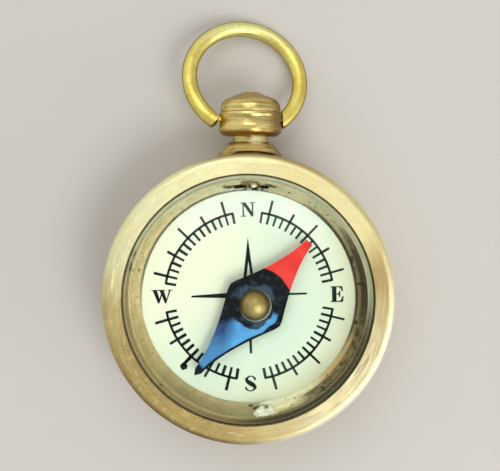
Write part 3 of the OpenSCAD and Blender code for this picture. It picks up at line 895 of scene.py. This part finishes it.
def vec(**parts):
    """A vector from its X, Y and Z, each 0 where it isn't named."""
    return scale_tree.node("ShaderNodeCombineXYZ", {}, parts)


def setting(points, instance, **more):
    """One instance on every point."""
    sockets = {"Points": points, "Instance": instance, **more}
    return scale_tree.node("GeometryNodeInstanceOnPoints", {}, sockets)


def strokes(per_quarter, first, step, low, high, seed):
    """Bars across the scale, per_quarter in each quarter, from radius low to high(number)."""
    index = scale_tree.node("GeometryNodeInputIndex", {}, {})
    quarter = (index / per_quarter + 0.001).maths("FLOOR")
    number = index - quarter * per_quarter
    angle = (quarter * 90 + number * step + first) * (math.pi / 180)
    end = high(number)
    middle = (end + low) / 2
    spot = vec(X=angle.maths("COSINE") * middle, Y=angle.maths("SINE") * middle, Z=ink_z)
    sockets = {"Count": QUARTERS * per_quarter, "Position": spot}
    points = scale_tree.node("GeometryNodePoints", {}, sockets)
    sockets = {2: 0.85, 3: 1.15, 8: seed}  # least, most, seed
    spread = scale_tree.node("FunctionNodeRandomValue", {"data_type": "FLOAT"}, sockets, 1)
    thinner = (angle - math.radians(45)).maths("COSINE") * 0.14
    bar = scale_tree.node("GeometryNodeMeshCube", {}, {"Size": (1, 1, 1)})
    scale = vec(X=end - low, Y=width * (spread + 0.06 - thinner), Z=ink_h)
    return setting(points, bar, Rotation=vec(Z=angle), Scale=scale)


def long_or_short(number):
    return long_end + (short_end - long_end) * number.maths("MODULO", 2)


inward = strokes(15, FIRST, STEP, inner_end, lambda number: arc_r, seed=3)
outward = strokes(5, FIRST + STEP, 3 * STEP, arc_r, long_or_short, seed=5)
arc = scale_tree.node("GeometryNodeCurveArc", {}, {
    "Radius": arc_r, "Start Angle": math.radians(FIRST - OVERHANG),
    "Sweep Angle": math.radians(LAST - FIRST + 2 * OVERHANG), "Resolution": 36,
})
sockets = {"Width": width, "Height": ink_h}
profile = scale_tree.node("GeometryNodeCurvePrimitiveQuadrilateral", {}, sockets)
sockets = {"Curve": arc, "Profile Curve": profile, "Fill Caps": True}
band = scale_tree.node("GeometryNodeCurveToMesh", {}, sockets)
sockets = {"Count": QUARTERS, "Position": vec(Z=ink_z)}
middles = scale_tree.node("GeometryNodePoints", {}, sockets)
turn = scale_tree.node("GeometryNodeInputIndex", {}, {}) * (math.pi / 2)
bands = setting(middles, band, Rotation=vec(Z=turn))
whole = scale_tree.node("GeometryNodeJoinGeometry", {}, {0: [inward, outward, bands]})
scale_tree.close(whole, ink_material)
print("scale tree:", len(scale_tree.tree.nodes), "nodes")

# %% Print the scale
printed("print_scale", scale_tree.grow({
    "Arc radius": 11.8, "Inner end": 10.35, "Long end": 13.75, "Short end": 13.05,
    "Line width": 0.34, "Ink height": INK_H, "Ink middle": INK_Z + INK_H / 2,
    "Ink": ink.material,
}))

# %% [markdown]
# One outward stroke in the south-west ran into a blot: a ragged spot of ink beside the end of
# a stroke that tapers outward. The spot is a circle whose radius follows noise.

# %% Blot
BLOT = (-9.42, -9.72)
BLOT_R, BLOT_RAGGED = 0.52, 0.14
BLOT_STROKE = ((11.7, 0.26), (13.4, 0.22), (13.4, -0.22), (11.7, -0.26))  # radius, to a side

blot = []
for k in range(30):
    way = Vector((math.cos(math.radians(12 * k)), math.sin(math.radians(12 * k)), 0))
    r = BLOT_R + BLOT_RAGGED * noise.noise(2 * way)
    blot.append((BLOT[0] + r * way.x, BLOT[1] + r * way.y))
way = Vector((-1, -1)).normalized()
stroke = [tuple(way * r + Vector((-way.y, way.x)) * aside) for r, aside in BLOT_STROKE]
printed("print_blot", plates([blot, stroke]))

# %% [markdown]
# ### The letters
# Bold serif capitals, drawn as outlines on a grid one letter high, as a sign writer would:
# thick downstrokes, hairline cross strokes, flat serifs. The S is a pen stroke whose width
# swells at its spine. The ink spread sideways as it was printed, which fattened the stems
# more than the hairlines.

# %% Letter outlines
LETTERS = {
    "N": [(0, 0), (0, .05), (.14, .06), (.14, .94), (0, .95), (0, 1), (.33, 1), (.80, .33),
          (.80, .94), (.66, .95), (.66, 1), (1, 1), (1, .95), (.86, .94), (.86, 0), (.76, 0),
          (.20, .80), (.20, .06), (.34, .05), (.34, 0)],
    "E": [(0, 0), (0, .05), (.12, .06), (.12, .94), (0, .95), (0, 1), (.84, 1), (.88, .68),
          (.83, .68), (.72, .90), (.58, .94), (.40, .94), (.40, .535), (.54, .54), (.61, .58),
          (.63, .70), (.68, .70), (.68, .33), (.63, .33), (.61, .44), (.54, .48), (.40, .485),
          (.40, .06), (.60, .06), (.76, .12), (.87, .36), (.92, .36), (.88, 0)],
    "W": [(0, 1), (.46, 1), (.46, .95), (.36, .94), (.566, .354), (.695, .69), (.60, .94),
          (.50, .95), (.50, 1), (.98, 1), (.98, .95), (.86, .94), (1.077, .3225), (1.30, .94),
          (1.20, .95), (1.20, 1), (1.52, 1), (1.52, .95), (1.37, .94), (1.03, 0), (.96, 0),
          (.745, .56), (.53, 0), (.46, 0), (.10, .94), (0, .95)],
}
S_STROKE = [(.60, .70, .05), (.585, .85, .08), (.36, .965, .06), (.13, .80, .13), (.20, .62, .22),
            (.36, .50, .27), (.53, .37, .22), (.60, .20, .13), (.36, .035, .06), (.11, .14, .08),
            (.08, .30, .05)]


def between(p, q, r, s, t):
    """A smooth curve through four numbers, from the second to the third as t goes 0 to 1."""
    return 0.5 * (2 * q + (r - p) * t + (2 * p - 5 * q + 4 * r - s) * t * t
                  + (3 * q - p - 3 * r + s) * t ** 3)


def pen(path, steps=8):
    """The outline of a stroke through (x, y, width) points on a smooth curve."""
    points = [path[0]] + path + [path[-1]]
    line = []
    for four in zip(points, points[1:], points[2:], points[3:]):
        line += [[between(*numbers, k / steps) for numbers in zip(*four)] for k in range(steps)]
    line.append(list(path[-1]))
    left, right = [], []
    for k, (x, y, w) in enumerate(line):
        before, after = line[max(k - 1, 0)], line[min(k + 1, len(line) - 1)]
        way = Vector((after[0] - before[0], after[1] - before[1])).normalized()
        left.append((x - way.y * w / 2, y + way.x * w / 2))
        right.append((x + way.y * w / 2, y - way.x * w / 2))
    return left + right[::-1]


LETTERS["S"] = pen(S_STROKE)
print("outlines of", ", ".join(LETTERS))

# %% Print the letters
SPREAD = 0.045  # mm that the ink spread to each side
SPREAD_ALONG = 0.2  # share of it along the strokes


def letter(name, x, y, wide, high):
    """An outline stretched to wide by high mm, with its middle at x, y."""
    outline = LETTERS[name]
    low = [min(p[k] for p in outline) for k in (0, 1)]
    span = [max(p[k] for p in outline) - low[k] for k in (0, 1)]
    return [(x + wide * ((px - low[0]) / span[0] - 0.5), y + high * ((py - low[1]) / span[1] - 0.5))
            for px, py in outline]


def bolder(outline):
    """The outline pushed out by the spread of the ink."""
    points = [Vector(p) for p in outline]
    ahead = points[1:] + points[:1]
    area = sum(p.cross(q) for p, q in zip(points, ahead))
    sides = [(q - p).normalized() * math.copysign(1, area) for p, q in zip(points, ahead)]
    outward = [Vector((s.y, -s.x)) for s in sides]
    spread = []
    for p, a, b in zip(points, outward[-1:] + outward[:-1], outward):
        push = (a + b) * SPREAD / max(1 + a.dot(b), 0.5)
        spread.append((p.x + push.x, p.y + push.y * SPREAD_ALONG))
    return spread


printed("print_letters", plates([bolder(letter(*row)) for row in (
    ("N", 0.1, 12.15, 1.95, 1.95), ("E", 12.28, 0.04, 1.75, 2.2),
    ("W", -12.2, 0.2, 2.9, 1.9), ("S", -0.05, -12.38, 1.55, 2.25),
)]))

# %% [markdown]
# ### The star
# Four long points. The north one is drawn as an outline, open at its foot; the others are
# solid and slim. They are five plates that meet under the needle, where nobody sees a joint.

# %% Star
NORTH_TIP, NORTH_SLIT = (0, 8.3), (0, 4.9)
REACH = 8.1

printed("print_star", plates([
    [(-1.1, 0), NORTH_TIP, NORTH_SLIT, (-0.72, 0)],
    [(0.98, 0), (0.6, 0), NORTH_SLIT, NORTH_TIP],
    [(0, -0.3), (0, 0.7), (-REACH, 0.24), (-REACH, -0.01)],
    [(0, 0.36), (0, -0.06), (REACH, 0.09), (REACH, 0.35)],
    [(-0.18, 0), (0.2, 0), (0.24, -REACH), (-0.10, -REACH)],
]))

# %% [markdown]
# ## The needle
# A stamped blade of blued steel, its north end dipped in red paint by hand. The bright blue on
# the south arm is a painted reflection of the sky on the steel; round the hub, along its left side
# and at the south tip the steel shows its own navy and black, with ragged borders. A black line
# along its right edge is partly the blade's dark edge and partly painted shade. The real paint
# doesn't end where the metal bends, so the colours are masks in one material and not pieces of
# their own. They are laid out along the needle: one coordinate runs north from the pivot and the
# other to its right.

# %% Where a point is on the needle
HEADING = math.radians(40)
BLADE_REACH = 12.19  # mm from the pivot to a tip
TIP_HALF, SWELL, SWELL_POWER = 0.55, 4.25, 1.6  # half width at the tip, and how it grows
HUB_BLACK, RED_FROM, TIP_BLACK = 2.5, 5.15, -11.1  # mm from the pivot, south negative

paint = Finish("needle_paint", Specular_IOR_Level=0.1)
spot = place(paint)
arm = spot.vector("SUBTRACT", over_pivot)
sine, cosine = math.sin(HEADING), math.cos(HEADING)
north = arm.vector("DOT_PRODUCT", (sine, cosine, 0), out="Value")
right = arm.vector("DOT_PRODUCT", (cosine, -sine, 0), out="Value")
from_hub = from_axis(arm)
from_tip = (1 - (north * north + 0.25).maths("SQRT") / BLADE_REACH).maths("MAXIMUM", 0)
half_width = TIP_HALF + SWELL * from_tip ** SWELL_POWER
to_edge = half_width - right
from_left = half_width + right
wander = cloud(spot, 1.6, detail=2) - 0.5
streak = cloud(arm, 0.7, detail=4, shift=2)
tones = cloud(spot, 2.2, detail=3, shift=5)
print("needle points", round(math.degrees(HEADING)), "degrees east of the pendant")

# %% Paint on the needle
red = blend(ease(tones, 0.3, 0.7), (228, 48, 48), (238, 68, 64))
# The bright blue of the south arm is a painted reflection of the sky on the blued steel; the navy
# mixed in is the steel's own colour.
steel_and_sky_blue = blend(ease(tones, 0.35, 0.65), (76, 138, 214), (92, 166, 230))
steel_and_sky_blue = blend(ease(cloud(spot, 1.3, shift=9), 0.5, 0.75) * 0.5, steel_and_sky_blue, (62, 146, 190))
steel_and_sky_blue = blend(ease(north + wander, -6.5, -10.5) * 0.6, steel_and_sky_blue, (66, 120, 172))
navy = blend(streak, (22, 34, 66), (62, 92, 156))
steel_and_sky_blue = blend(ease(from_left + wander * 1.2, 3.6, 1.0) * ease(north, -11, -5), steel_and_sky_blue, navy)
black = blend(ease(streak, 0.50, 0.72), (3, 5, 11), (36, 46, 64))
worn = ease(from_hub + wander * 1.2, 3.6, 2.9) * ease(tones, 0.46, 0.62)
black = blend(worn * 0.6, black, (72, 92, 118))

# The steel's own dark colour round the hub reaches further along the south arm.
dark_reach = ease(north, 0.5, -2.5) * 0.75
south = blend(ease(from_hub + wander * 0.8 - dark_reach, HUB_BLACK + 0.25, HUB_BLACK), steel_and_sky_blue, black)
waist = ease(north, -2.4, -0.9) * 0.5
# A black line along the right edge: partly the blade's dark edge, partly painted shade.
south = blend(ease(to_edge + wander * 0.25 - waist, 0.42, 0.26), south, black)
south = blend(ease(north + wander, TIP_BLACK, TIP_BLACK - 0.5), south, black)
painted = blend(ease(north - right * 1.42 + 1.6 + wander * 1.2, -1.5, 0.5), south, black)
painted = blend(ease(north + wander * 1.5, 0.2, 1.2), painted, black)
dipped = ease(from_hub + wander * 0.4, RED_FROM, RED_FROM + 0.12) * ease(north, 1, 2)
painted = blend(dipped, painted, red)
paint.coat({
    "Base Color": painted, "Roughness": 0.42 + streak * 0.2, "Normal": bump(streak + wander, 0.012),
})
dress("needle_blade", paint)
print("needle painted")

# %% [markdown]
# ## Lumps
# Solder and old dirt have no drawn shape. Each is a handful of knobbly balls, flattened and
# laid where the stuff collected, and then covered by one skin, as a drop of molten metal
# would be: the voxel remesh does that. The wall ring is a strip bent to a circle and soldered
# at its split, so there the lumps are whitish.

# %% Lumps under one skin
def knobbly(made, x, y, z, wide, deep, high, turn, seed):
    """Add one ball with bumps: its middle and its size in mm, and its turn in degrees."""
    ball = bmesh.ops.create_icosphere(made, subdivisions=4, radius=0.5)["verts"]
    for v in ball:
        v.co *= 1 + 0.35 * noise.fractal(v.co * 3 + Vector((seed, 0, 0)), 1, 2, 3)
    where = Matrix.Translation((x, y, z)) @ Matrix.Rotation(math.radians(turn), 4, "Z")
    bmesh.ops.transform(made, matrix=where @ Matrix.Diagonal((wide, deep, high, 1)), verts=ball)


def lumps_piece(name, lumps, finish, skin):
    """One skin over several lumps, made a piece of the case."""
    made = bmesh.new()
    for seed, lump in enumerate(lumps):
        knobbly(made, *lump, seed)
    host = put(name + "_rough", as_mesh(name + "_rough", made))
    remesh = host.modifiers.new("skin", "REMESH")
    remesh.mode, remesh.voxel_size, remesh.use_smooth_shade = "VOXEL", skin, True
    mesh = grown(host)
    mesh.transform(Matrix.Scale(MM, 4))
    mesh.materials.clear()
    mesh.materials.append(finish.material)
    piece = put(name, mesh)
    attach(piece, "case")
    print(name, len(mesh.polygons), "faces")
    return piece


print("lumps can be laid")

# %% Solder
solder = Finish("old_solder", Metallic=0.25)
spot = place(solder)
lumps = cloud(spot, 0.9, detail=3)
flux = ease(cloud(spot, 0.5, detail=3, shift=4), 0.60, 0.68)
creamy = ease(axes(spot)[0] + lumps, 3.6, 4.8)
pale = blend(creamy, blend(lumps, (222, 224, 206), (255, 252, 238)), (255, 244, 204))
solder.coat({
    "Base Color": blend(flux * 0.7, pale, (120, 104, 70)), "Roughness": 0.4 + lumps * 0.25,
    "Normal": bump(lumps - flux * 0.3, 0.08),
})
solder_piece = lumps_piece("solder_lumps", [
    (2.0, -16.0, 9.5, 1.9, 1.5, 2.1, 10), (3.5, -15.8, 9.5, 1.8, 1.4, 2.0, -15),
    (2.9, -14.95, 8.05, 2.2, 0.8, 0.4, 8), (2.8, -15.9, 10.0, 1.2, 0.7, 1.2, 0),
    (4.8, -15.25, 9.0, 2.3, 1.2, 1.0, 18), (6.1, -14.7, 8.95, 2.2, 1.0, 0.9, 24),
    (5.3, -14.75, 8.3, 2.6, 0.8, 0.5, 21),
], solder, skin=0.05)
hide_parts("solder_joint")

# %% [markdown]
# At the pendant's nut the lumps are brown dirt, pale on their side toward the dial. One pale lump
# over the stud's end stands for the glint where it catches the light: a painted highlight.

# %% Dirt and the painted glint
dirt = Finish("old_dirt", Roughness=0.8)
spot = place(dirt)
lumps = cloud(spot, 0.5, detail=4, roughness=0.65)
brown = blend(ease(lumps, 0.35, 0.6), (40, 30, 14), (150, 126, 88))
# The dirt is paler on its side toward the dial.
toward_dial = ease(axes(spot)[1] + lumps * 0.3, 15.42, 15.22)
dirt.coat({
    "Base Color": blend(toward_dial * 0.75, brown, (206, 214, 208)), "Normal": bump(lumps, 0.08),
})
lumps_piece("notch_dirt", [
    (-2.45, 15.35, 8.0, 0.9, 0.9, 0.7, 12), (-1.5, 15.12, 7.78, 1.8, 0.3, 0.4, 5),
    (-0.1, 15.35, 8.05, 0.8, 0.8, 0.7, 0), (1.35, 15.25, 7.9, 0.7, 0.5, 0.6, -10),
    (2.3, 15.1, 7.8, 0.9, 0.3, 0.4, -8), (-3.4, 15.0, 7.95, 1.0, 0.25, 0.3, 13),
    (1.3, 15.8, 8.5, 0.6, 0.4, 0.4, 20), (-0.6, 15.85, 8.55, 1.3, 0.35, 0.4, 3),
], dirt, skin=0.03)

# A pale lump over the stud's end: a painted highlight for its glint.
glint_lump = Finish("bright_bead", Metallic=0.3)
lumps = cloud(place(glint_lump), 0.4, detail=3)
glint_lump.coat({
    "Base Color": blend(lumps, (255, 250, 222), (246, 226, 180)),
    "Roughness": 0.3 + lumps * 0.2,
})
lumps_piece("stud_glint", [(0.65, 15.65, 8.4, 0.85, 0.62, 0.6, 15)], glint_lump, skin=0.03)

# %% [markdown]
# ## Jewel
# The cup under the cap, in which the pin's point turns, is a hard red stone. The cap hides it,
# so a half-clear shader with faint veins is enough.

# %% Jewel
jewel = Finish("jewel_stone", Transmission_Weight=0.4, IOR=1.76)
veins = cloud(place(jewel), 0.3, detail=3)
jewel.coat({
    "Base Color": blend(veins, (150, 20, 40), (200, 60, 80)),
    "Roughness": 0.06 + veins * 0.05,
})
dress("jewel_cup", jewel)
print("jewel dressed")
